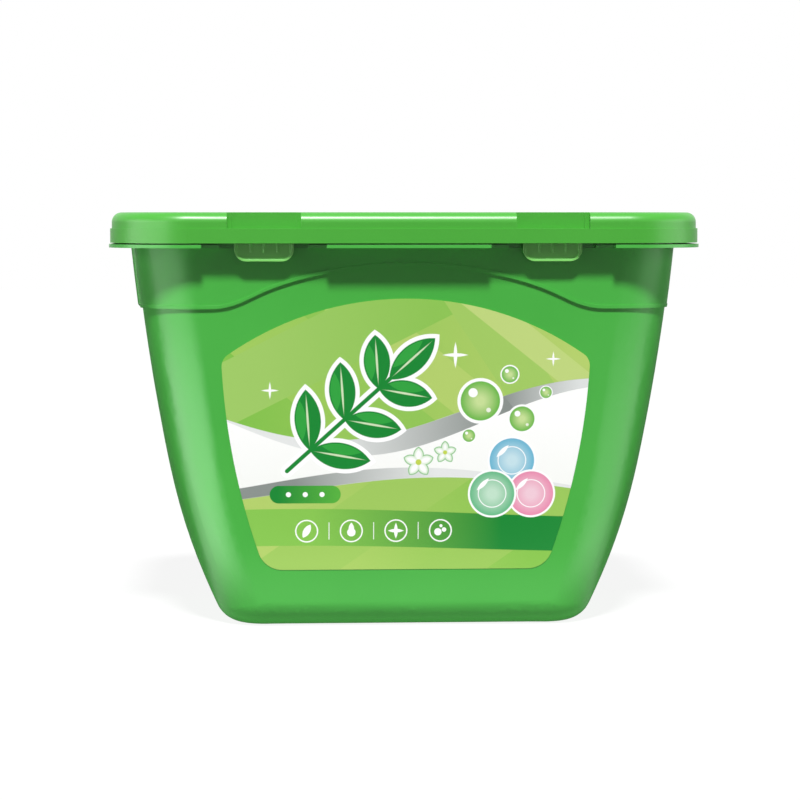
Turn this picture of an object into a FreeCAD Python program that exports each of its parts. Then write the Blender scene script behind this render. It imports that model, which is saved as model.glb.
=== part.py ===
import FreeCAD, Part
import math
import os
from FreeCAD import Vector

# Hinged tub for laundry pods: moulded tub, lid, two sprung press tabs, front label and the pods.
# Origin at the middle of the flat base, +Z up, the label and the press tabs face -Y. Millimetres.

# tub body, measured outside at the underside of the flange
flange_z = 136.6
body_half_x = 97.1
body_half_y = 57.9
body_corner = 21.0
base_corner = 18.0
side_tilt = 5.8
side_radius = 846.0
knee_z = 59.7
knee_radius = 235.0
front_tilt = 2.4
front_radius = 2290.0
base_round = 10.5
wall = 1.5

# shoulder band with a wave along its lower edge, and the side pads
shoulder_drop = 21.6
shoulder_step = 0.5
lip_step = 0.35
lip_width = 1.2
wave_half = 70.0
wave_rise = 15.3
wave_ease = 0.86
pad_half_y = 32.0
pad_step = 1.8
pad_round = 1.5

# flange and the rim that stands up inside the lid
flange_lip = 0.45
flange_t = 1.2
rim_height = 4.7
notch_half = 22.0
notch_depth = 3.5
slot_half = 15.5

# lid
lid_reach_x = 8.9
lid_reach_y = 8.1
lid_corner = 28.0
lid_gap = 0.5
lid_wall = 1.5
skirt_height = 5.1
dome_inset = 0.6
dome_height = 5.7
dome_round = 3.5
recess_half = 13.0
recess_depth = 3.2
panel_margin = 1.7
panel_depth = 0.8
seal_gap = 1.0
seal_t = 1.2
seal_lift = 1.7
ledge_half = 9.0
ledge_depth = 0.8
ledge_t = 0.8
ledge_lift = 0.3

# press tabs
tab_x = 50.9
tab_half = 10.5
tab_t = 1.4
tab_drop = 4.7
tab_round = 4.3
tab_front_gap = 1.1
tab_tuck = 0.2
tab_web_half = 8.5
tab_web_t = 0.8
tab_root_gap = 0.25
bead = 0.5
rib_count = 5
rib_pitch = 4.7
rib_width = 0.6
rib_reach = 3.2

# rear hinge
hinge_x = 50.0
hinge_back = 3.75
pin_radius = 1.5
pin_gap = 0.08
knuckle_radius = 2.9
knuckle_half = 6.0
knuckle_mouth = 2.4
ear_radius = 3.0
ear_t = 3.0
ear_gap = 0.4
gusset_drop = 9.0

# front label
label_t = 0.15
label_gap = 0.02
label_headroom = 11.7
label_top_radius = 111.0
label_shoulder_half = 65.6
label_shoulder_drop = 23.6
label_foot_half = 50.5
label_foot_z = 21.1
label_side_radius = 250.0
label_top_round = 5.0
label_foot_round = 9.0
label_shift = -0.5

# pods, laid in layers
pod_count = 40
pod_radius = 19.0
pod_height = 15.5
pod_film_t = 0.5
pod_film_z = 5.0
pod_chamber = 16.0
pod_flat = 12.0
pod_brow = 0.6
pod_brow_inset = 1.2
pod_sides = 10
pod_gap = 0.3
pod_rows = 2

lid_half_x = body_half_x + lid_reach_x
lid_half_y = body_half_y + lid_reach_y
rim_z = flange_z + flange_t + rim_height
skirt_z = flange_z + flange_t + lid_gap
dome_z = skirt_z + skirt_height
lid_top = dome_z + dome_height
ceiling_z = lid_top - lid_wall
tab_z = flange_z - tab_drop
tab_front = lid_half_y - lid_wall - ledge_depth - tab_front_gap
tab_top = skirt_z + tab_tuck
pivot_y = lid_half_y + flange_lip + hinge_back
pivot_z = flange_z + flange_t / 2
shoulder_z = flange_z - shoulder_drop
label_top_z = shoulder_z + wave_rise - label_headroom
label_shoulder_z = label_top_z - label_shoulder_drop
label_arch = label_top_radius - math.sqrt(label_top_radius ** 2 - label_shoulder_half ** 2)
label_top_corner = label_top_z - label_arch


# how far an arc that starts at a tilt has come inward, after a drop
def arc_inset(tilt, radius, drop):
    start = math.sin(tilt)
    end = start + drop / radius
    return radius * (math.sqrt(1 - start * start) - math.sqrt(1 - end * end)), math.asin(end)


def half_x(z):
    drop = flange_z - max(z, knee_z)
    inset, tilt = arc_inset(math.radians(side_tilt), side_radius, drop)
    if z < knee_z:
        inset += arc_inset(tilt, knee_radius, knee_z - z)[0]
    return body_half_x - inset


def half_y(z):
    return body_half_y - arc_inset(math.radians(front_tilt), front_radius, flange_z - z)[0]


def corner(z):
    return base_corner + (body_corner - base_corner) * z / flange_z


# closed outline of a rectangle with round corners, at one height
def outline(half_w, half_d, radius, z):
    edges = []
    ends = []
    for quarter in range(4):
        sx = 1 if quarter in (0, 3) else -1
        sy = 1 if quarter < 2 else -1
        centre = Vector(sx * (half_w - radius), sy * (half_d - radius), z)
        spot = [centre + Vector(math.cos(a), math.sin(a), 0) * radius
                for a in (math.radians(90 * quarter + step) for step in (0, 45, 90))]
        if ends:
            edges.append(Part.makeLine(ends[-1], spot[0]))
        edges.append(Part.Arc(*spot).toShape())
        ends += [spot[0], spot[2]]
    edges.append(Part.makeLine(ends[-1], ends[0]))
    return Part.Wire(edges)


def slab(half_w, half_d, radius, low, high):
    face = Part.Face(outline(half_w, half_d, radius, low))
    return face.extrude(Vector(0, 0, high - low))


# the body's form between two heights, grown outward by a margin
def body_form(low, high, grow, steps=6):
    heights = [low + (high - low) * i / steps for i in range(steps + 1)]
    rings = [outline(half_x(z) + grow, half_y(z) + grow, corner(z) + grow, z) for z in heights]
    return Part.makeLoft(rings, True, False)


# a box given by the middle of its width
def block(x, half_w, y_low, y_high, z_low, z_high):
    return Part.makeBox(2 * half_w, y_high - y_low, z_high - z_low, Vector(x - half_w, y_low, z_low))


def level_edges(shape, z, closeness=0.01):
    return [e for e in shape.Edges
            if abs(e.BoundBox.ZMin - z) < closeness and abs(e.BoundBox.ZMax - z) < closeness]


# a profile in the YZ plane, extruded along X about its middle
def side_profile(points, x, half_w):
    places = [Vector(x - half_w, y, z) for y, z in points]
    face = Part.Face(Part.makePolygon(places + [places[0]]))
    return face.extrude(Vector(2 * half_w, 0, 0))


def cross_rod(radius, x, half_w):
    return Part.makeCylinder(radius, 2 * half_w, Vector(x - half_w, pivot_y, pivot_z), Vector(1, 0, 0))


# what the shoulder band covers, above a wave on the front and a level edge behind
def band_region(lift):
    low = shoulder_z + lift
    shape = ((1.0, 0.0), (0.74, 0.37), (0.42, 0.81), (0.0, 1.0), (-0.42, 0.81), (-0.74, 0.37), (-1.0, 0.0))
    spots = [Vector(-u * wave_half, 0, low + v * wave_rise) for u, v in shape]
    ease = Vector(wave_ease * wave_half, 0, 0)
    curve = Part.BSplineCurve()
    curve.interpolate(Points=spots, InitialTangent=ease, FinalTangent=ease)
    far = lid_half_x
    rest = [spots[-1], Vector(far, 0, low), Vector(far, 0, flange_z), Vector(-far, 0, flange_z),
            Vector(-far, 0, low), spots[0]]
    wire = Part.Wire([curve.toShape()] + Part.makePolygon(rest).Edges)
    front = Part.Face(wire).extrude(Vector(0, -lid_half_y, 0))
    return front.fuse(block(0, far, 0, lid_half_y, low, flange_z))


# the band stands proud of the body, and a narrow lip runs along its lower edge
def shoulder_band():
    covered = band_region(0)
    band = body_form(shoulder_z, flange_z, shoulder_step, 2).common(covered)
    edge = covered.cut(band_region(lip_width))
    return band.fuse(body_form(shoulder_z, flange_z, shoulder_step + lip_step, 2).common(edge))


def side_pads():
    levels = (shoulder_z, (shoulder_z + flange_z) / 2, flange_z)
    rings = []
    for z in levels:
        reach = half_x(z) + pad_step
        rings.append(Part.makePolygon([Vector(sx * reach, sy * pad_half_y, z)
                                       for sx, sy in ((-1, -1), (1, -1), (1, 1), (-1, 1), (-1, -1))]))
    pads = Part.makeLoft(rings, True, False)
    return pads.makeFillet(pad_round, [e for e in pads.Edges if e.BoundBox.ZMin < flange_z - 0.01])


def flange():
    plate = slab(lid_half_x + flange_lip, lid_half_y + flange_lip, lid_corner + flange_lip,
                 flange_z, flange_z + flange_t)
    edge = lid_half_y + flange_lip
    for x in (-tab_x, tab_x):
        plate = plate.cut(block(x, notch_half, -edge - 1, -edge + notch_depth, flange_z, rim_z))
        plate = plate.cut(block(x, slot_half, -edge - 1, -body_half_y, flange_z, rim_z))
    return plate


# two ears with a pin between them, and a gusset under each ear
def tub_hinge(x):
    inner = knuckle_half + ear_gap
    shape = cross_rod(pin_radius, x, inner + ear_t / 2)
    edge = lid_half_y + flange_lip
    foot = pivot_z - gusset_drop
    for side in (-1, 1):
        ear_x = x + side * (inner + ear_t / 2)
        arm = side_profile([(edge - 2, flange_z + flange_t), (pivot_y, flange_z + flange_t),
                            (pivot_y, pivot_z - ear_radius), (edge - 2, pivot_z - ear_radius)], ear_x, ear_t / 2)
        gusset = side_profile([(edge, flange_z + 0.2), (half_y(flange_z) - 0.5, flange_z + 0.2),
                               (half_y(foot) - 0.5, foot)], ear_x, ear_t / 2)
        shape = shape.fuse([cross_rod(ear_radius, ear_x, ear_t / 2), arm, gusset])
    return shape


def tub():
    body = body_form(0, flange_z, 0)
    body = body.makeFillet(base_round, level_edges(body, 0))
    rim = slab(body_half_x, body_half_y, body_corner, flange_z, rim_z)
    body = body.fuse([shoulder_band(), side_pads(), rim, flange()])
    body = body.fuse([tub_hinge(-hinge_x), tub_hinge(hinge_x)])
    hollow = body_form(wall, flange_z, -wall)
    hollow = hollow.makeFillet(base_round - wall, level_edges(hollow, wall))
    mouth = slab(body_half_x - wall, body_half_y - wall, body_corner - wall, flange_z, rim_z)
    return body.cut([hollow, mouth]).removeSplitter()


# the thumb recess over each press tab, grown for the inside of its wall
def thumb_recess(x, grow, floor_z):
    face = lid_half_y - dome_inset
    outer = block(x, recess_half + grow, -lid_half_y, -face + recess_depth + grow, floor_z, lid_top)
    panel = block(x, recess_half + grow - panel_margin, -lid_half_y,
                  -face + recess_depth + panel_depth + grow, floor_z, lid_top)
    return outer.fuse(panel)


# an arm from the skirt with a snap ring for the pin
def lid_hinge(x):
    ring = cross_rod(knuckle_radius, x, knuckle_half)
    skirt_back = lid_half_y - lid_wall / 2
    arm = side_profile([(skirt_back, skirt_z + 0.3), (skirt_back, skirt_z + 4.0), (lid_half_y + 1.0, skirt_z + 4.0),
                        (pivot_y + 1.0, pivot_z + knuckle_radius - 0.2), (pivot_y, pivot_z + 1.1)],
                       x, knuckle_half)
    shape = ring.fuse(arm)
    mouth = block(x, knuckle_half, pivot_y - knuckle_mouth / 2, pivot_y + knuckle_mouth / 2,
                  pivot_z - knuckle_radius, pivot_z)
    return shape.cut([cross_rod(pin_radius + pin_gap, x, knuckle_half), mouth])


def lid():
    dome = slab(lid_half_x - dome_inset, lid_half_y - dome_inset, lid_corner - dome_inset, dome_z - 1, lid_top)
    dome = dome.makeFillet(dome_round, level_edges(dome, lid_top))
    shape = slab(lid_half_x, lid_half_y, lid_corner, skirt_z, dome_z).fuse(dome)
    inset = dome_inset + lid_wall
    hollow = slab(lid_half_x - inset, lid_half_y - inset, lid_corner - inset, skirt_z, ceiling_z)
    hollow = hollow.makeFillet(dome_round - lid_wall, level_edges(hollow, ceiling_z))
    skirt = slab(lid_half_x - lid_wall, lid_half_y - lid_wall, lid_corner - lid_wall, skirt_z, dome_z - lid_wall)
    for x in (-tab_x, tab_x):
        hollow = hollow.cut(thumb_recess(x, lid_wall, dome_z - lid_wall))
        shape = shape.cut(thumb_recess(x, 0, dome_z))
    shape = shape.cut([hollow, skirt])
    inner = wall + seal_gap
    seal_z = flange_z + flange_t + seal_lift
    seal = slab(body_half_x - inner, body_half_y - inner, body_corner - inner, seal_z, ceiling_z + 0.5)
    inner += seal_t
    core = slab(body_half_x - inner, body_half_y - inner, body_corner - inner, seal_z, ceiling_z + 0.5)
    shape = shape.fuse([seal.cut(core), lid_hinge(-hinge_x), lid_hinge(hinge_x)])
    ledge_front = lid_half_y - lid_wall
    for x in (-tab_x, tab_x):
        low = skirt_z + ledge_lift
        shape = shape.fuse(block(x, ledge_half, -ledge_front - 0.5, -ledge_front + ledge_depth, low, low + ledge_t))
    return shape.removeSplitter()


# outline of the tab's plate, set in by a margin
def tab_plate(x, margin, y_front, y_back):
    half = tab_half - margin
    low = tab_z + margin
    radius = tab_round - margin
    turn = radius * (1 - math.sqrt(0.5))
    left, right = x - half, x + half
    points = [Vector(right, y_front, low + radius), Vector(right, y_front, tab_top),
              Vector(left, y_front, tab_top), Vector(left, y_front, low + radius)]
    arcs = [Part.Arc(points[3], Vector(left + turn, y_front, low + turn), Vector(left + radius, y_front, low)),
            Part.Arc(Vector(right - radius, y_front, low), Vector(right - turn, y_front, low + turn), points[0])]
    bottom = Part.makeLine(Vector(left + radius, y_front, low), Vector(right - radius, y_front, low))
    wire = Part.Wire(Part.makePolygon(points).Edges + [arcs[0].toShape(), bottom, arcs[1].toShape()])
    return Part.Face(wire).extrude(Vector(0, y_back - y_front, 0))


# a plate with a raised border and grip ribs, carried on a thin web from the rim
def press_tab(x):
    front = -tab_front
    plate = tab_plate(x, 0, front, front + tab_t)
    plate = plate.cut(tab_plate(x, bead * 1.6, front, front + bead))
    for i in range(rib_count):
        rib_x = x + (i - (rib_count - 1) / 2) * rib_pitch
        plate = plate.fuse(block(rib_x, rib_width / 2, front + bead * 0.3, front + tab_t / 2,
                                 skirt_z - rib_reach, tab_top))
    web = block(x, tab_web_half, front + tab_t / 2, -body_half_y - tab_root_gap, tab_top - tab_web_t, tab_top)
    return plate.fuse(web).removeSplitter()


# the label's outline: an arched top, bowed sides and rounded feet
def label_outline():
    shoulder = Vector(label_shoulder_half, 0, label_shoulder_z)
    foot = Vector(label_foot_half, 0, label_foot_z)
    upper = Vector(label_shoulder_half, 0, label_top_corner)
    chord = shoulder - foot
    bow = label_side_radius - math.sqrt(label_side_radius ** 2 - chord.Length ** 2 / 4)
    outward = Vector(chord.z, 0, -chord.x).normalize()
    middle = (shoulder + foot) * 0.5 + outward * bow
    flip = lambda v: Vector(-v.x, v.y, v.z)
    crown = Vector(0, 0, label_top_z)
    edges = [Part.Arc(flip(upper), crown, upper).toShape(), Part.makeLine(upper, shoulder),
             Part.Arc(shoulder, middle, foot).toShape(), Part.makeLine(foot, flip(foot)),
             Part.Arc(flip(foot), flip(middle), flip(shoulder)).toShape(), Part.makeLine(flip(shoulder), flip(upper))]
    return Part.Wire(edges)


def front_label():
    blank = Part.Face(label_outline()).extrude(Vector(0, -lid_half_y, 0))
    for radius, z in ((label_foot_round, label_foot_z), (label_top_round, label_top_corner)):
        through = [e for e in level_edges(blank, z, 0.1) if e.BoundBox.YLength > lid_half_y / 2]
        blank = blank.makeFillet(radius, through)
    blank.translate(Vector(label_shift, 0, 0))
    low, high = label_foot_z - 2, label_top_z + 2
    skin = body_form(low, high, label_gap + label_t).cut(body_form(low, high, label_gap))
    return skin.common(blank)


# a ring of a pod's corners
def pod_ring(radius, z):
    turns = [2 * math.pi * i / pod_sides for i in range(pod_sides)]
    return [Vector(radius * math.cos(a), radius * math.sin(a), z) for a in turns]


# two bulging sides with the film's rim between them, in flat facets because there are many
def pod():
    film_top = pod_film_z + pod_film_t
    brow_z = film_top + (pod_height - film_top) * pod_brow
    levels = ((pod_flat, 0), (pod_chamber, pod_film_z), (pod_radius, pod_film_z), (pod_radius, film_top),
              (pod_chamber, film_top), (pod_chamber - pod_brow_inset, brow_z), (pod_flat, pod_height))
    rings = [pod_ring(radius, z) for radius, z in levels]
    faces = [rings[0], rings[-1]]
    for low, high in zip(rings, rings[1:]):
        for i in range(pod_sides):
            j = (i + 1) % pod_sides
            faces.append([low[i], low[j], high[j], high[i]])
    shell = Part.Shell([Part.Face(Part.makePolygon(f + [f[0]])) for f in faces])
    return Part.Solid(shell)


# middles of the pods: as many columns across each layer as its width takes
def pod_places():
    pitch = 2 * pod_radius + pod_gap
    places = []
    z = wall + pod_gap
    while len(places) < pod_count and z + pod_height < rim_z:
        room = half_x(z) - wall - pod_gap - pod_radius
        left = math.ceil((pod_count - len(places)) / pod_rows)
        columns = min(int(2 * room / pitch) + 1, left)
        for column in range(columns):
            x = (column - (columns - 1) / 2) * pitch
            places += [Vector(x, (row - (pod_rows - 1) / 2) * pitch, z) for row in range(pod_rows)]
        z += pod_height + pod_gap
    return places[:pod_count]


def save(shape, name):
    solid = shape.Solids[0] if len(shape.Solids) == 1 else shape
    if len(shape.Solids) != 1 or not solid.isValid():
        print("check", name, len(shape.Solids), "solids, valid", shape.isValid())
    solid.exportStep(os.path.join("parts", name + ".step"))
    print(name, round(solid.Volume / 1000, 2), "cm3")


os.makedirs("parts", exist_ok=True)
save(tub(), "tub")
save(lid(), "lid")
save(press_tab(-tab_x), "press_tab_left")
save(press_tab(tab_x), "press_tab_right")
save(front_label(), "front_label")
one_pod = pod()
for number, place in enumerate(pod_places(), 1):
    copy = one_pod.copy()
    copy.translate(place)
    save(copy, "pod_%02d" % number)
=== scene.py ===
import math
import bmesh
import bpy
from mathutils import Matrix, Vector


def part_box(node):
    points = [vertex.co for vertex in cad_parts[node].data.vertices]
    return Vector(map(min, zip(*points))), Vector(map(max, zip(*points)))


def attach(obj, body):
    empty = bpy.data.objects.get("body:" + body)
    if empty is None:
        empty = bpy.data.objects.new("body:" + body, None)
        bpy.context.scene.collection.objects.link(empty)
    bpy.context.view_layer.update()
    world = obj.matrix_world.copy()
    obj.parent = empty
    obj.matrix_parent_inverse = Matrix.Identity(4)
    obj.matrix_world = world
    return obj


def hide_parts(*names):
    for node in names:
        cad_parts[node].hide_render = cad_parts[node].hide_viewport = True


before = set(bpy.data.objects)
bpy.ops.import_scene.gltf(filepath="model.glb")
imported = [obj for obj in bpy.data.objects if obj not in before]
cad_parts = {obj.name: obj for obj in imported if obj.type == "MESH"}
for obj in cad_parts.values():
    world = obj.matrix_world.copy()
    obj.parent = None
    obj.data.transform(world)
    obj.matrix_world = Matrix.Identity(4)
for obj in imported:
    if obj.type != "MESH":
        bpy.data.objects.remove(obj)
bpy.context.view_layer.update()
millimetre = 0.001


def hexColour(code):
    # sRGB hex to linear, with full alpha
    parts = [int(code[i:i + 2], 16) / 255 for i in (1, 3, 5)]
    return tuple(p / 12.92 if p <= 0.04045 else ((p + 0.055) / 1.055) ** 2.4 for p in parts) + (1.0,)


def addNode(tree, kind, inputs=None, **settings):
    node = tree.nodes.new(kind)
    for name, value in settings.items():
        setattr(node, name, value)
    for key, value in (inputs or {}).items():
        if isinstance(value, bpy.types.NodeSocket):
            tree.links.new(value, node.inputs[key])
        else:
            node.inputs[key].default_value = value
    return node


def newMaterial(name):
    material = bpy.data.materials.new(name)
    material.use_nodes = True
    tree = material.node_tree
    return material, tree, tree.nodes["Principled BSDF"]


# the direction that a turn in degrees points to, in a flat drawing
def heading(turn):
    return Vector((math.cos(math.radians(turn)), math.sin(math.radians(turn))))


def pickOnly(*pieces):
    bpy.ops.object.select_all(action="DESELECT")
    for piece in pieces:
        piece.select_set(True)
    bpy.context.view_layer.objects.active = pieces[0]


def applyModifiers(piece):
    pickOnly(piece)
    for modifier in list(piece.modifiers):
        bpy.ops.object.modifier_apply(modifier=modifier.name)


# polypropylene moulded against a fine satin steel: wide soft highlights and a faint orange peel
def mouldedPolypropylene(look):
    material, tree, surface = newMaterial(look["name"])
    place = addNode(tree, "ShaderNodeTexCoord").outputs["Object"]
    cloud = addNode(tree, "ShaderNodeTexNoise", {
        "Vector": place, "Scale": 1 / (look["cloudMm"] * millimetre), "Detail": 3.0})
    tint = addNode(tree, "ShaderNodeMix", {
        0: cloud.outputs["Fac"], 6: hexColour(look["dark"]), 7: hexColour(look["light"])}, data_type="RGBA")
    peel = addNode(tree, "ShaderNodeTexNoise", {
        "Vector": place, "Scale": 1 / (look["peelMm"] * millimetre), "Detail": 2.0})
    gloss = addNode(tree, "ShaderNodeMapRange", {
        "Value": cloud.outputs["Fac"], "To Min": look["glossy"], "To Max": look["dull"]})
    bump = addNode(tree, "ShaderNodeBump", {
        "Height": peel.outputs["Fac"], "Strength": look["peelStrength"],
        "Distance": look["peelDepthMm"] * millimetre})
    tree.links.new(tint.outputs[2], surface.inputs["Base Color"])
    tree.links.new(gloss.outputs["Result"], surface.inputs["Roughness"])
    tree.links.new(bump.outputs["Normal"], surface.inputs["Normal"])
    surface.inputs["IOR"].default_value = polypropyleneIor
    return material


polypropyleneIor = 1.49
tubLook = {
    "name": "greenPolypropyleneTub", "dark": "#3EA43A", "light": "#44AA3F", "glossy": 0.27, "dull": 0.32,
    "cloudMm": 30.0, "peelMm": 0.9, "peelStrength": 0.1, "peelDepthMm": 0.03,
}
lidLook = dict(tubLook, name="greenPolypropyleneLid", dark="#3D9A2C", light="#43A031",
               glossy=0.32, dull=0.38)
tabLook = dict(tubLook, name="palerPolypropyleneTab", dark="#74C65F", light="#80D26A",
               glossy=0.30, dull=0.40)
tubPlastic = mouldedPolypropylene(tubLook)
lidPlastic = mouldedPolypropylene(lidLook)
tabPlastic = mouldedPolypropylene(tabLook)
print("plastics ready")


moulded = {"mergeMm": 0.002, "flatDegrees": 0.2, "edgeDegrees": 35}
thumbRecess = {
    "tabs": ("press_tab_left", "press_tab_right"), "halfMm": 13.0, "nearMm": 0.2, "frontDepthMm": 1.1,
    "radiusMm": 0.9, "segments": 4,
}


# the upright edges at both ends of each thumb recess are rounder than the others
def roundThumbEdges(moulding, look):
    middles = [(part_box(tab)[0].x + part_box(tab)[1].x) / 2 for tab in look["tabs"]]
    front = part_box("lid")[0].y + look["frontDepthMm"] * millimetre
    mesh = bmesh.new()
    mesh.from_mesh(moulding.data)
    weight = mesh.edges.layers.float.new("bevel_weight_edge")
    for edge in mesh.edges:
        first, second = [vert.co for vert in edge.verts]
        upright = abs(second.z - first.z) > 0.9 * (second - first).length
        away = min(abs(abs(first.x - x) - look["halfMm"] * millimetre) for x in middles)
        if upright and away < look["nearMm"] * millimetre and first.y < front:
            edge[weight] = 1.0
    mesh.to_mesh(moulding.data)
    mesh.free()
    bevel = moulding.modifiers.new("thumbRadius", "BEVEL")
    bevel.width = look["radiusMm"] * millimetre
    bevel.segments = look["segments"]
    bevel.limit_method = "WEIGHT"


# a copy of a moulding whose edges get the small radii that a mould leaves
def softenedMoulding(piece):
    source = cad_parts[piece["node"]]
    moulding = source.copy()
    moulding.data = source.data.copy()
    moulding.name = piece["name"]
    for key in list(moulding.keys()):
        del moulding[key]
    bpy.context.scene.collection.objects.link(moulding)
    pickOnly(moulding)
    bpy.ops.object.mode_set(mode="EDIT")
    bpy.ops.mesh.select_all(action="SELECT")
    bpy.ops.mesh.customdata_custom_splitnormals_clear()
    bpy.ops.mesh.remove_doubles(threshold=moulded["mergeMm"] * millimetre)
    bpy.ops.mesh.dissolve_limited(angle_limit=math.radians(moulded["flatDegrees"]))
    bpy.ops.object.mode_set(mode="OBJECT")
    if piece["thumbs"]:
        roundThumbEdges(moulding, thumbRecess)
    bevel = moulding.modifiers.new("mouldRadius", "BEVEL")
    bevel.width = piece["radiusMm"] * millimetre
    bevel.segments = piece["segments"]
    bevel.limit_method = "ANGLE"
    bevel.angle_limit = math.radians(moulded["edgeDegrees"])
    even = moulding.modifiers.new("evenShading", "WEIGHTED_NORMAL")
    even.keep_sharp = True
    applyModifiers(moulding)
    moulding.data.materials.clear()
    moulding.data.materials.append(piece["material"])
    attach(moulding, piece["body"])
    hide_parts(piece["node"])


mouldings = (
    {"node": "tub", "name": "tub_moulding", "body": "tub",
     "slot": "tub_green", "material": tubPlastic, "radiusMm": 0.3, "segments": 2, "thumbs": False},
    {"node": "lid", "name": "lid_moulding", "body": "lid",
     "slot": "lid_green", "material": lidPlastic, "radiusMm": 0.4, "segments": 3, "thumbs": True},
    {"node": "press_tab_left", "name": "left_tab_moulding", "body": "press_tab_left",
     "slot": "tab_green", "material": tabPlastic, "radiusMm": 0.18, "segments": 2, "thumbs": False},
    {"node": "press_tab_right", "name": "right_tab_moulding", "body": "press_tab_right",
     "slot": "tab_green", "material": tabPlastic, "radiusMm": 0.18, "segments": 2, "thumbs": False},
)
for piece in mouldings:
    softenedMoulding(piece)
print("mouldings softened")

# the label's print, drawn in millimetres as seen from the front; later layers lie over earlier ones
# a wave: height, swing, length and turn; a facet: lean, middle, half width and ink
# an ink: one colour, or one that runs "across" from x to x, or "inward" from the edge over a depth
labelPrint = {
    "edgeMm": 0.12, "roughness": 0.32,
    "white": "#FFFFFF", "deep": "#007E29", "silver": "#E3E5E4", "steel": "#858C88",
    "ground": ("#E8ECE4", "#FDFDFC"), "groundRise": (20.0, 75.0),
    "limeWave": (79.0, 11.0, 190.0, -40.0), "limeInk": ("across", "#7CBB45", "#B1CC68", -60, 60),
    "limeFacets": ((0.8, 66, 17, ("across", "#9FC65A", "#8EC153", -70, 0)), (0.8, 100, 9, "#B0CC69"),
                   (-0.5, 117, 12, ("across", "#9AC561", "#89BF50", -50, 10)),
                   (1.5, 152, 15, "#9EC65F"), (0.8, 138, 6, "#BCD27B")),
    "ribbonWave": (75.0, 12.6, 186.0, -55.0), "ribbonFade": (-30, 30),
    "ribbonTurn": (1.2, 200, 75), "ribbonTurnInk": ("across", "#858C88", "#DCDFDE", 34, 62),
    "footWave": (49.5, 5.0, 210.0, 70.0), "footInk": ("across", "#AECA67", "#82BD48", -45, 45),
    "footFacets": ((-0.7, 50, 12, "#9BC45B"), (-0.7, 10, 9, "#96C257")),
    "footRibbonWave": (52.5, 5.6, 205.0, 88.0), "footRibbonFade": (-40, 10),
    "stripTop": (41.5, 1.8, 250.0, 150.0), "stripFoot": (28.5, 1.4, 250.0, 150.0),
    "stripInk": ("across", "#82BF4C", "#007E29", -34, 34),
    "pill": {"x": -36.5, "z": 48.5, "half": 9.5, "radius": 3.2, "end": "#51AB39", "fade": (-10, 12),
             "dots": (-6, 0, 6), "dotRadius": 0.9},
    "icons": {"xs": (-36.0, -20.0, -4.0, 12.0), "z": 35.2, "radius": 3.9, "line": 0.22,
              "ruleAway": 8.0, "ruleHalf": 3.0, "ruleLine": 0.12},
    "sprig": {"foot": (-43.0, 57.0), "turn": 42.0, "firstStep": 11.0, "step": 16.5, "pairs": 3,
              "length": 22.0, "shorter": 0.06, "width": 9.4, "spread": 52.0, "tipStep": 60.0,
              "stemHalf": 0.75, "rim": 1.5, "litInk": "#299C39", "litInset": 0.5,
              "veinShare": 0.8, "veinWidth": 0.75, "veinInk": "#CEE3BA"},
    "flowers": {"spots": ((4.0, 60.0, 5.2), (13.5, 63.5, 3.8)), "petals": 5, "firstTurn": 18,
                "width": 0.6, "outline": 0.35, "outlineInk": "#82BF80",
                "petalInk": ("inward", "#D3E6CC", "#FFFFFF", 1.0), "heart": 0.2, "heartInk": "#BFD24E"},
    "bubbles": {"spots": ((26.0, 82.0, 8.2), (41.0, 75.5, 5.2), (36.5, 91.5, 3.4), (49.5, 85.0, 2.4),
                          (22.0, 69.5, 2.6)), "full": "#62B140", "pale": "#C5DC96", "glint": "#EAEFDE"},
    "pastels": {"spots": ((37.5, 60.5, "#C3DFE8", "#64B1CE"), (44.5, 48.5, "#EEC9D6", "#E489AB"),
                          (30.5, 48.5, "#BFDFC8", "#61B582")), "radius": 8.0, "rim": 0.7, "line": 0.16},
    "sparkles": ((17.0, 98.5, 9.0), (-49.0, 86.0, 6.0), (52.0, 97.0, 5.0)), "sparkleWidth": 0.14,
}


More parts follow.
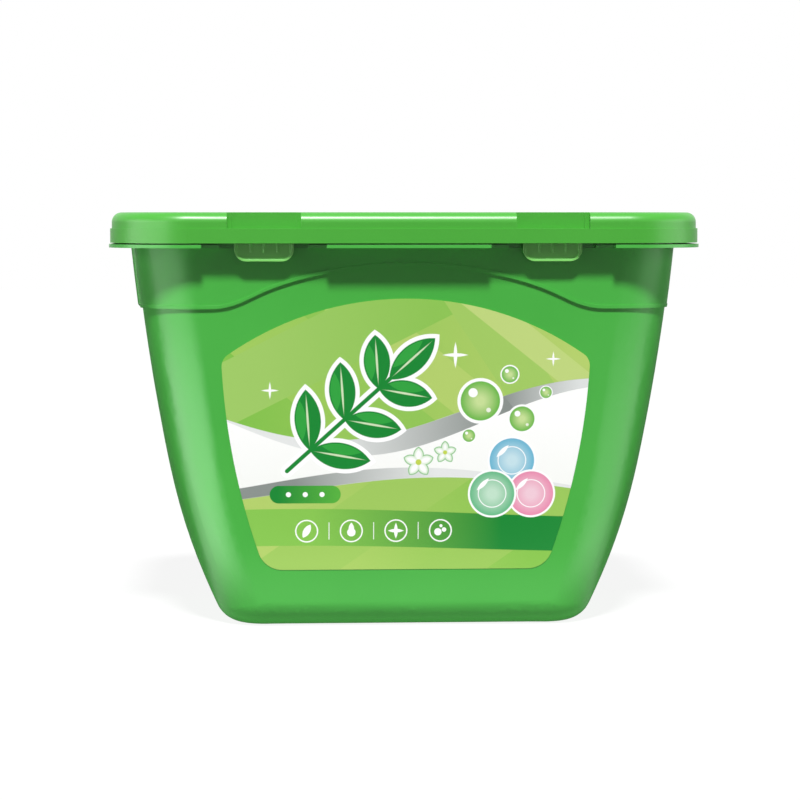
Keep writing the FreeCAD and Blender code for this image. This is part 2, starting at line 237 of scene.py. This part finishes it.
# how far a place lies outside a shape, in millimetres, and less than nothing inside it
def shapeDistance(tree, place, kind, *sizes):
    axes = addNode(tree, "ShaderNodeSeparateXYZ", {0: place})
    if kind in ("anyOf", "allOf"):
        parts = [shapeDistance(tree, place, *shape) for shape in sizes]
        total = parts[0]
        for part in parts[1:]:
            total = addNode(tree, "ShaderNodeMath", {0: total, 1: part},
                            operation="MINIMUM" if kind == "anyOf" else "MAXIMUM").outputs[0]
        return total
    if kind == "leaf":  # two discs that cross share a pointed leaf
        x, z, length, width, turn = sizes
        radius = (length ** 2 + width ** 2) / (4 * width)
        side = heading(turn + 90) * (radius - width / 2)
        return shapeDistance(tree, place, "allOf", ("disc", x + side.x, z + side.y, radius),
                             ("disc", x - side.x, z - side.y, radius))
    if kind in ("disc", "ring"):
        x, z, radius = sizes[:3]
        away = addNode(tree, "ShaderNodeVectorMath", {0: place, 1: (x, 0, z)}, operation="DISTANCE")
        edge = addNode(tree, "ShaderNodeMath", {0: away.outputs["Value"], 1: radius},
                       operation="SUBTRACT").outputs[0]
        if kind == "disc":
            return edge
        folded = addNode(tree, "ShaderNodeMath", {0: edge}, operation="ABSOLUTE").outputs[0]
        return addNode(tree, "ShaderNodeMath", {0: folded, 1: sizes[3]}, operation="SUBTRACT").outputs[0]
    if kind == "line":  # round ended, from one spot to another
        x, z, endX, endZ, half = sizes
        run = Vector((endX - x, 0, endZ - z))
        moved = addNode(tree, "ShaderNodeVectorMath", {0: place, 1: (x, 0, z)},
                        operation="SUBTRACT").outputs[0]
        along = addNode(tree, "ShaderNodeVectorMath", {0: moved, 1: run / run.length_squared},
                        operation="DOT_PRODUCT").outputs["Value"]
        share = addNode(tree, "ShaderNodeMath", {0: along, 1: 1.0}, operation="MULTIPLY", use_clamp=True)
        nearest = addNode(tree, "ShaderNodeVectorMath", {0: run, "Scale": share.outputs[0]},
                          operation="SCALE").outputs[0]
        away = addNode(tree, "ShaderNodeVectorMath", {0: moved, 1: nearest}, operation="DISTANCE")
        return addNode(tree, "ShaderNodeMath", {0: away.outputs["Value"], 1: half},
                       operation="SUBTRACT").outputs[0]
    if kind == "slant":
        lean, middle, half = sizes
        level = addNode(tree, "ShaderNodeMath", {0: axes.outputs["X"], 1: lean, 2: axes.outputs["Z"]},
                        operation="MULTIPLY_ADD").outputs[0]
        moved = addNode(tree, "ShaderNodeMath", {0: level, 1: middle}, operation="SUBTRACT").outputs[0]
        folded = addNode(tree, "ShaderNodeMath", {0: moved}, operation="ABSOLUTE").outputs[0]
        return addNode(tree, "ShaderNodeMath", {0: folded, 1: half}, operation="SUBTRACT").outputs[0]
    height, swing, length, turn = sizes  # above or below a wave
    angle = addNode(tree, "ShaderNodeMath", {
        0: axes.outputs["X"], 1: 2 * math.pi / length, 2: math.radians(turn)},
        operation="MULTIPLY_ADD").outputs[0]
    wave = addNode(tree, "ShaderNodeMath", {0: angle}, operation="SINE").outputs[0]
    level = addNode(tree, "ShaderNodeMath", {0: wave, 1: swing, 2: height},
                    operation="MULTIPLY_ADD").outputs[0]
    ends = (level, axes.outputs["Z"]) if kind == "above" else (axes.outputs["Z"], level)
    return addNode(tree, "ShaderNodeMath", {0: ends[0], 1: ends[1]}, operation="SUBTRACT").outputs[0]


# the waves and ribbons, as layers: the shape, its ink, and how far the shape is grown
def groundLayers(design):
    lime = ("above",) + design["limeWave"]
    layers = [(lime, design["limeInk"], 0)]
    layers += [(("allOf", lime, ("slant", *facet[:3])), facet[3], 0) for facet in design["limeFacets"]]
    ribbon = ("allOf", ("below",) + design["limeWave"], ("above",) + design["ribbonWave"])
    layers.append((ribbon, ("across", design["silver"], design["steel"], *design["ribbonFade"]), 0))
    layers.append((("allOf", ribbon, ("slant", *design["ribbonTurn"])), design["ribbonTurnInk"], 0))
    foot = ("below",) + design["footWave"]
    layers.append((foot, design["footInk"], 0))
    layers += [(("allOf", foot, ("slant", *facet[:3])), facet[3], 0) for facet in design["footFacets"]]
    footRibbon = ("allOf", ("above",) + design["footWave"], ("below",) + design["footRibbonWave"])
    footFade = ("across", design["steel"], design["silver"], *design["footRibbonFade"])
    layers.append((footRibbon, footFade, 0))
    strip = ("allOf", ("below",) + design["stripTop"], ("above",) + design["stripFoot"])
    layers.append((strip, design["stripInk"], 0))
    return layers


# the pill with its dots, and the row of picture signs with rules between them
def signLayers(design):
    pill, signs = design["pill"], design["icons"]
    x, z, half = pill["x"], pill["z"], pill["half"]
    ink = ("across", design["deep"], pill["end"], x + pill["fade"][0], x + pill["fade"][1])
    dots = tuple(("disc", x + step, z, pill["dotRadius"]) for step in pill["dots"])
    layers = [(("line", x - half, z, x + half, z, pill["radius"]), ink, 0),
              (("anyOf",) + dots, design["white"], 0)]

    z = signs["z"]
    icons = [("ring", x, z, signs["radius"], signs["line"]) for x in signs["xs"]]
    leaf, drop, spark, foam = signs["xs"]
    icons += [("leaf", leaf, z, 5.4, 2.4, 60),
              ("disc", drop, z - 0.5, 1.5), ("leaf", drop, z + 0.6, 4.8, 2.0, 90),
              ("leaf", spark, z, 5.6, 1.3, 90), ("leaf", spark, z, 5.6, 1.3, 0),
              ("disc", foam - 0.9, z - 0.5, 1.3), ("disc", foam + 1.3, z + 0.3, 0.8),
              ("disc", foam + 0.2, z + 1.7, 0.55)]
    for x in signs["xs"][:-1]:
        rule = x + signs["ruleAway"]
        icons.append(("line", rule, z - signs["ruleHalf"], rule, z + signs["ruleHalf"], signs["ruleLine"]))
    layers.append((("anyOf",) + tuple(icons), design["white"], 0))
    return layers


# the leaf sprig: pairs of leaves along a stem and one at its tip
def sprigLayers(design):
    sprig = design["sprig"]
    root, along = Vector(sprig["foot"]), heading(sprig["turn"])
    leaves = []
    for i in range(sprig["pairs"]):
        joint = root + along * (sprig["firstStep"] + i * sprig["step"])
        length = sprig["length"] * (1 - sprig["shorter"] * i)
        for side in (-1, 1):
            turn = sprig["turn"] + side * sprig["spread"]
            middle = joint + heading(turn) * length / 2
            leaves.append((middle.x, middle.y, length, sprig["width"], turn))
    tip = root + along * sprig["tipStep"]
    leaves.append((tip.x, tip.y, sprig["length"], sprig["width"], sprig["turn"]))
    stem = ("line", root.x, root.y, tip.x, tip.y, sprig["stemHalf"])
    whole = ("anyOf", stem) + tuple(("leaf",) + leaf for leaf in leaves)
    layers = [(whole, design["white"], sprig["rim"]), (whole, design["deep"], 0)]
    for x, z, length, width, turn in leaves:  # the lit half of each leaf
        side = heading(turn + 90) * width / 2
        lit = ("allOf", ("leaf", x, z, length, width, turn),
               ("leaf", x + side.x, z + side.y, length, width, turn))
        layers.append((lit, sprig["litInk"], -sprig["litInset"]))
    veins = tuple(("leaf", x, z, length * sprig["veinShare"], sprig["veinWidth"], turn)
                  for x, z, length, width, turn in leaves)
    layers.append((("anyOf",) + veins, sprig["veinInk"], 0))
    return layers


# flowers, bubbles, pastel discs and sparkles
def motifLayers(design):
    layers = []
    flowers, bubbles, pastels = design["flowers"], design["bubbles"], design["pastels"]
    for x, z, size in flowers["spots"]:
        petals = ()
        for i in range(flowers["petals"]):
            turn = 360 / flowers["petals"] * i + flowers["firstTurn"]
            middle = Vector((x, z)) + heading(turn) * size / 2
            petals += (("leaf", middle.x, middle.y, size, size * flowers["width"], turn),)
        layers.append((("anyOf",) + petals, flowers["outlineInk"], flowers["outline"]))
        layers.append((("anyOf",) + petals, flowers["petalInk"], 0))
        layers.append((("disc", x, z, size * flowers["heart"]), flowers["heartInk"], 0))
    for x, z, radius in bubbles["spots"]:
        skin = ("inward", bubbles["full"], bubbles["pale"], radius * 0.7)
        layers.append((("disc", x, z, radius), design["white"], 0))
        layers.append((("disc", x, z, radius * 0.86), skin, 0))
        layers.append((("disc", x - radius * 0.32, z + radius * 0.36, radius * 0.2), design["white"], 0))
        layers.append((("disc", x + radius * 0.36, z - radius * 0.4, radius * 0.1), bubbles["glint"], 0))
    radius = pastels["radius"]
    for x, z, pale, full in pastels["spots"]:
        glint = ("leaf", x - radius * 0.42, z + radius * 0.42, radius * 0.75, radius * 0.2, 45)
        layers.append((("disc", x, z, radius), design["white"], pastels["rim"]))
        layers.append((("disc", x, z, radius), ("inward", full, pale, radius * 0.8), 0))
        layers.append((glint, design["white"], 0))
        layers.append((("ring", x, z, radius * 0.62, pastels["line"]), design["white"], 0))
    for x, z, size in design["sparkles"]:
        rays = tuple(("leaf", x, z, size, size * design["sparkleWidth"], turn) for turn in (90, 0))
        layers.append((("anyOf",) + rays, design["white"], 0))
    return layers


# in-mould label of printed polypropylene film: flat inks under a thin even gloss
def printedFilm(design):
    material, tree, surface = newMaterial("printedPolypropyleneFilm")
    spot = addNode(tree, "ShaderNodeTexCoord").outputs["Object"]
    place = addNode(tree, "ShaderNodeVectorMath", {0: spot, 1: (1 / millimetre, 0, 1 / millimetre)},
                    operation="MULTIPLY").outputs[0]
    axes = addNode(tree, "ShaderNodeSeparateXYZ", {0: place})
    edge = design["edgeMm"]
    footZ, topZ = design["groundRise"]
    dim, bright = design["ground"]
    rise = addNode(tree, "ShaderNodeMapRange", {
        "Value": axes.outputs["Z"], "From Min": footZ, "From Max": topZ})
    ground = addNode(tree, "ShaderNodeMix", {
        0: rise.outputs["Result"], 6: hexColour(dim), 7: hexColour(bright)}, data_type="RGBA").outputs[2]
    layers = groundLayers(design) + signLayers(design) + sprigLayers(design) + motifLayers(design)
    for shape, ink, grow in layers:
        distance = shapeDistance(tree, place, *shape)
        covered = addNode(tree, "ShaderNodeMapRange", {
            "Value": distance, "From Min": grow - edge, "From Max": grow + edge,
            "To Min": 1.0, "To Max": 0.0})
        if isinstance(ink, str):
            colour = hexColour(ink)
        else:
            way, first, second = ink[:3]
            ends = {"Value": axes.outputs["X"], "From Min": ink[3], "From Max": ink[-1]}
            if way == "inward":
                ends = {"Value": distance, "From Min": 0.0, "From Max": -ink[3]}
            share = addNode(tree, "ShaderNodeMapRange", ends)
            colour = addNode(tree, "ShaderNodeMix", {
                0: share.outputs["Result"], 6: hexColour(first), 7: hexColour(second)},
                data_type="RGBA").outputs[2]
        ground = addNode(tree, "ShaderNodeMix", {0: covered.outputs["Result"], 6: ground, 7: colour},
                         data_type="RGBA").outputs[2]
    tree.links.new(ground, surface.inputs["Base Color"])
    surface.inputs["Roughness"].default_value = design["roughness"]
    surface.inputs["IOR"].default_value = polypropyleneIor
    return material


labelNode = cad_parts["front_label"]
labelNode.data.materials.clear()
labelNode.data.materials.append(printedFilm(labelPrint))
print("label printed")

podLook = {
    "film": ("clearWaterSolubleFilm", "#DDEFF2"),
    "fills": (("blueDetergent", "#4FB4DC"), ("greenDetergent", "#57C08C"), ("pinkDetergent", "#F28DB4")),
    "swirlMm": 3.85, "cloudiness": 0.4, "wrinkleMm": 2.38, "wrinkleDepthMm": 0.3, "filmIor": 1.42,
    "sides": 40, "rimMm": 18.8, "rimZ": 5.25, "rimT": 0.35, "paintAboveMm": 1.2,
    "bellyMm": 15.6, "bellyDepth": 4.9,
    "lobes": 3, "lobeAwayMm": 7.4, "lobeMm": (9.4, 7.4, 8.2), "lobeLiftMm": 1.0, "lobeTurn": 62.0,
    "voxelMm": 0.95, "turnStep": 137.5,
}


# detergent in a water-soluble film: a wet-looking skin over a cloudy coloured liquid
def filmOverLiquid(look, name, colour):
    material, tree, surface = newMaterial(name)
    place = addNode(tree, "ShaderNodeTexCoord").outputs["Object"]
    swirl = addNode(tree, "ShaderNodeTexNoise", {
        "Vector": place, "Scale": 1 / (look["swirlMm"] * millimetre), "Detail": 2.0})
    cloudy = addNode(tree, "ShaderNodeMapRange", {
        "Value": swirl.outputs["Fac"], "To Min": 0.0, "To Max": look["cloudiness"]})
    tint = addNode(tree, "ShaderNodeMix", {
        0: cloudy.outputs["Result"], 6: hexColour(colour), 7: (1, 1, 1, 1)}, data_type="RGBA")
    wrinkle = addNode(tree, "ShaderNodeTexNoise", {
        "Vector": place, "Scale": 1 / (look["wrinkleMm"] * millimetre), "Detail": 3.0})
    bump = addNode(tree, "ShaderNodeBump", {
        "Height": wrinkle.outputs["Fac"], "Strength": 0.25,
        "Distance": look["wrinkleDepthMm"] * millimetre})
    tree.links.new(tint.outputs[2], surface.inputs["Base Color"])
    tree.links.new(bump.outputs["Normal"], surface.inputs["Normal"])
    surface.inputs["Roughness"].default_value = 0.16
    surface.inputs["IOR"].default_value = look["filmIor"]
    surface.inputs["Subsurface Weight"].default_value = 0.3
    surface.inputs["Subsurface Scale"].default_value = 2 * millimetre
    surface.inputs["Coat Weight"].default_value = 0.5
    surface.inputs["Coat Roughness"].default_value = 0.06
    return material


podMaterials = [filmOverLiquid(podLook, *fill) for fill in podLook["fills"] + (podLook["film"],)]


# one pod about the origin: a round belly, three lobes leaning round the middle, and the film's flat rim
def modelPod(look):
    rimZ = look["rimZ"] * millimetre
    bpy.ops.mesh.primitive_uv_sphere_add(segments=32, ring_count=16, radius=look["bellyMm"] * millimetre,
                                         location=(0, 0, rimZ))
    belly = bpy.context.object
    belly.scale.z = look["bellyDepth"] / look["bellyMm"]
    chambers = [belly]
    away = look["lobeAwayMm"] * millimetre
    for i in range(look["lobes"]):
        turn = 360 / look["lobes"] * i
        spot = (*(heading(turn) * away), rimZ + look["lobeLiftMm"] * millimetre)
        bpy.ops.mesh.primitive_uv_sphere_add(segments=24, ring_count=12, radius=millimetre, location=spot,
                                             rotation=(0, 0, math.radians(turn + look["lobeTurn"])))
        lobe = bpy.context.object
        lobe.scale = look["lobeMm"]
        chambers.append(lobe)
    pickOnly(*chambers)
    bpy.ops.object.transform_apply(location=True, rotation=True, scale=True)
    bpy.ops.object.join()
    pod = bpy.context.object
    remesh = pod.modifiers.new("blend", "REMESH")
    remesh.mode = "VOXEL"
    remesh.voxel_size = look["voxelMm"] * millimetre
    smooth = pod.modifiers.new("relax", "SMOOTH")
    smooth.iterations = 3
    applyModifiers(pod)
    bpy.ops.mesh.primitive_cylinder_add(vertices=look["sides"], radius=look["rimMm"] * millimetre,
                                        depth=look["rimT"] * millimetre, location=(0, 0, rimZ))
    rim = bpy.context.object
    for piece in (pod, rim):
        for material in podMaterials:
            piece.data.materials.append(material)
    share = 360 / look["lobes"]
    for face in pod.data.polygons:  # each chamber's colour on top, the first one's all over the underside
        angle = math.degrees(math.atan2(face.center.y, face.center.x))
        onTop = face.center.z > rimZ + look["paintAboveMm"] * millimetre
        face.material_index = int((angle + share / 2) % 360 // share) if onTop else 0
    for face in rim.data.polygons:
        face.material_index = len(look["fills"])
    pickOnly(pod, rim)
    bpy.ops.object.transform_apply(location=True, rotation=True, scale=True)
    bpy.ops.object.join()
    bpy.ops.object.shade_smooth_by_angle(angle=math.radians(40))
    return bpy.context.object


def layPods(look):
    master = modelPod(look)
    podNodes = sorted(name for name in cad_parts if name.startswith("pod_"))
    for number, name in enumerate(podNodes):
        low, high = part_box(name)
        pod = master.copy()
        pod.data = master.data.copy()
        pod.name = "filled_" + name
        bpy.context.scene.collection.objects.link(pod)
        middle = Vector(((low.x + high.x) / 2, (low.y + high.y) / 2, low.z))
        turned = Matrix.Rotation(math.radians(number * look["turnStep"]), 4, "Z")
        pod.data.transform(Matrix.Translation(middle) @ turned)
        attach(pod, "tub")
        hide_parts(name)
    bpy.data.objects.remove(master)


layPods(podLook)
print("pods laid")

studio = {
    "floorHalf": 4.0, "floorGrey": "#555555", "floorGlow": 0.89,
    "nearGlow": 0.75, "nearReach": 0.09, "footHalf": (0.070, 0.046), "frontShine": 0.2, "nearShine": 4.0,
    "cards": ((-1, 5.4), (1, 2.4)), "cardEdge": 0.055, "cardLean": 0.12, "cardFull": 0.06,
    "cardBack": (-0.01, -0.08), "cardFar": (0.66, 0.50),
    "worldFill": 0.07, "worldShine": 0.9,
    "sunTurn": (33.5, 0.0, -2.0), "sunStrength": 5.1, "sunAngle": 8.0,
    "boxAway": 1.2, "boxZ": 0.30, "aimZ": 0.08,
    "boxes": ({"turn": -82.0, "power": 6.0, "size": (0.75, 0.75), "shines": False},
              {"turn": 82.0, "power": 5.5, "size": (0.75, 0.75), "shines": False},
              {"turn": -62.0, "power": 10.5, "size": (1.6, 0.6), "shines": True},
              {"turn": 76.0, "power": 4.6, "size": (1.2, 0.6), "shines": True}),
}


# the floor's glow by kind of ray: white to the camera, cards to reflections, a pale foot to diffuse rays
def floorGlow(tree, look):
    rays = addNode(tree, "ShaderNodeLightPath").outputs
    place = addNode(tree, "ShaderNodeTexCoord").outputs["Object"]
    axes = addNode(tree, "ShaderNodeSeparateXYZ", {0: place}).outputs
    # the foot of the tub gets the light that a white floor returns close to it
    folded = addNode(tree, "ShaderNodeVectorMath", {0: place}, operation="ABSOLUTE").outputs[0]
    past = addNode(tree, "ShaderNodeVectorMath", {0: folded, 1: (*look["footHalf"], 0)},
                   operation="SUBTRACT")
    outside = addNode(tree, "ShaderNodeVectorMath", {0: past.outputs[0], 1: (0, 0, 0)}, operation="MAXIMUM")
    fromFoot = addNode(tree, "ShaderNodeVectorMath", {0: outside.outputs[0]}, operation="LENGTH")
    near = addNode(tree, "ShaderNodeMapRange", {
        "Value": fromFoot.outputs["Value"], "From Min": 0.0, "From Max": look["nearReach"],
        "To Min": 1.0, "To Max": 0.0}).outputs["Result"]
    nearGlow = addNode(tree, "ShaderNodeMath", {0: near, 1: look["nearGlow"]}, operation="MULTIPLY")
    farther = addNode(tree, "ShaderNodeMath", {0: 1.0, 1: near}, operation="SUBTRACT").outputs[0]
    hump = addNode(tree, "ShaderNodeMath", {0: near, 1: farther}, operation="MULTIPLY").outputs[0]
    shine = addNode(tree, "ShaderNodeMath", {0: hump, 1: look["nearShine"], 2: look["frontShine"]},
                    operation="MULTIPLY_ADD").outputs[0]
    # reflections see a pale card on the floor at each side, ahead of the tub and not too far off
    away = addNode(tree, "ShaderNodeVectorMath", {0: place}, operation="LENGTH").outputs["Value"]
    within = addNode(tree, "ShaderNodeMapRange", {
        "Value": away, "From Min": look["cardFar"][0], "From Max": look["cardFar"][1]}).outputs["Result"]
    edge = addNode(tree, "ShaderNodeMath", {0: axes["Y"], 1: look["cardLean"], 2: -look["cardEdge"]},
                   operation="MULTIPLY_ADD").outputs[0]
    for side, strength in look["cards"]:
        beyond = addNode(tree, "ShaderNodeMath", {0: axes["X"], 1: side, 2: edge}, operation="MULTIPLY_ADD")
        card = addNode(tree, "ShaderNodeMapRange", {
            "Value": beyond.outputs[0], "From Max": look["cardFull"], "To Max": strength},
            interpolation_type="SMOOTHSTEP")
        shine = addNode(tree, "ShaderNodeMath", {0: card.outputs["Result"], 1: within, 2: shine},
                        operation="MULTIPLY_ADD").outputs[0]
    ahead = addNode(tree, "ShaderNodeMapRange", {
        "Value": axes["Y"], "From Min": look["cardBack"][0], "From Max": look["cardBack"][1]})
    shine = addNode(tree, "ShaderNodeMath", {0: shine, 1: ahead.outputs["Result"]}, operation="MULTIPLY")
    glow = addNode(tree, "ShaderNodeMath", {0: rays["Is Camera Ray"], 1: look["floorGlow"]},
                   operation="MULTIPLY")
    for ray, strength in (("Is Glossy Ray", shine), ("Is Diffuse Ray", nearGlow)):
        glow = addNode(tree, "ShaderNodeMath", {0: rays[ray], 1: strength.outputs[0], 2: glow.outputs[0]},
                       operation="MULTIPLY_ADD")
    return glow.outputs[0]


def layFloor(look):
    bpy.ops.mesh.primitive_plane_add(size=2 * look["floorHalf"], location=(0, 0, 0))
    floor = bpy.context.object
    floor.name = "floor"
    # pale matt studio board
    material, tree, surface = newMaterial("paleFloor")
    surface.inputs["Base Color"].default_value = hexColour(look["floorGrey"])
    surface.inputs["Roughness"].default_value = 0.9
    surface.inputs["Specular IOR Level"].default_value = 0.0
    surface.inputs["Emission Color"].default_value = (1, 1, 1, 1)
    tree.links.new(floorGlow(tree, look), surface.inputs["Emission Strength"])
    material.cycles.emission_sampling = "NONE"
    floor.data.materials.append(material)


# white to the camera, a little dimmer to reflections and dark to the rest
def makeWorld(look):
    world = bpy.data.worlds.new("studioWorld")
    world.use_nodes = True
    bpy.context.scene.world = world
    tree = world.node_tree
    rays = addNode(tree, "ShaderNodeLightPath").outputs
    seen = addNode(tree, "ShaderNodeMath", {0: rays["Is Camera Ray"], 1: rays["Is Transmission Ray"]},
                   operation="MAXIMUM").outputs[0]
    shine = addNode(tree, "ShaderNodeMath", {0: rays["Is Glossy Ray"], 1: look["worldShine"], 2: seen},
                    operation="MULTIPLY_ADD").outputs[0]
    strength = addNode(tree, "ShaderNodeMath", {0: shine, 1: look["worldFill"]}, operation="MAXIMUM")
    background = tree.nodes["Background"]
    background.inputs["Color"].default_value = (1, 1, 1, 1)
    tree.links.new(strength.outputs[0], background.inputs["Strength"])


# the sun makes the lid's shadow; the boxes at the sides fill or shine, never both
def hangLamps(look):
    turns = [math.radians(angle) for angle in look["sunTurn"]]
    bpy.ops.object.light_add(type="SUN", location=(0, -1, 2), rotation=turns)
    sun = bpy.context.object
    sun.data.energy = look["sunStrength"]
    sun.data.angle = math.radians(look["sunAngle"])
    for box in look["boxes"]:
        turn = math.radians(box["turn"])
        place = Vector((math.sin(turn) * look["boxAway"], -math.cos(turn) * look["boxAway"], look["boxZ"]))
        bpy.ops.object.light_add(type="AREA", location=place)
        lamp = bpy.context.object
        lamp.data.shape = "RECTANGLE"
        lamp.data.size, lamp.data.size_y = box["size"]
        lamp.data.energy = box["power"]
        lamp.visible_glossy, lamp.visible_diffuse = box["shines"], not box["shines"]
        lamp.rotation_euler = (Vector((0, 0, look["aimZ"])) - place).to_track_quat("-Z", "Y").to_euler()


layFloor(studio)
makeWorld(studio)
hangLamps(studio)

photoCamera = {
    "distance": 1.0, "height": 0.150, "turn": -3.0, "pitch": 4.09,
    "focalPx": 2659.0, "framePx": 800.0, "axisPx": 399.5, "sensorMm": 36.0,
}


def setCamera(look):
    turn = math.radians(look["turn"])
    place = (look["distance"] * math.sin(turn), -look["distance"] * math.cos(turn), look["height"])
    bpy.ops.object.camera_add(location=place)
    camera = bpy.context.object
    aside = math.atan((look["framePx"] / 2 - look["axisPx"]) / look["focalPx"])
    camera.rotation_euler = (math.radians(90 - look["pitch"]), 0, turn - aside)
    camera.data.sensor_width = look["sensorMm"]
    camera.data.lens = look["focalPx"] / look["framePx"] * look["sensorMm"]
    camera.data.clip_start = 0.01
    bpy.context.scene.camera = camera


setCamera(photoCamera)
bpy.context.scene.view_settings.view_transform = "Standard"
print("studio ready")
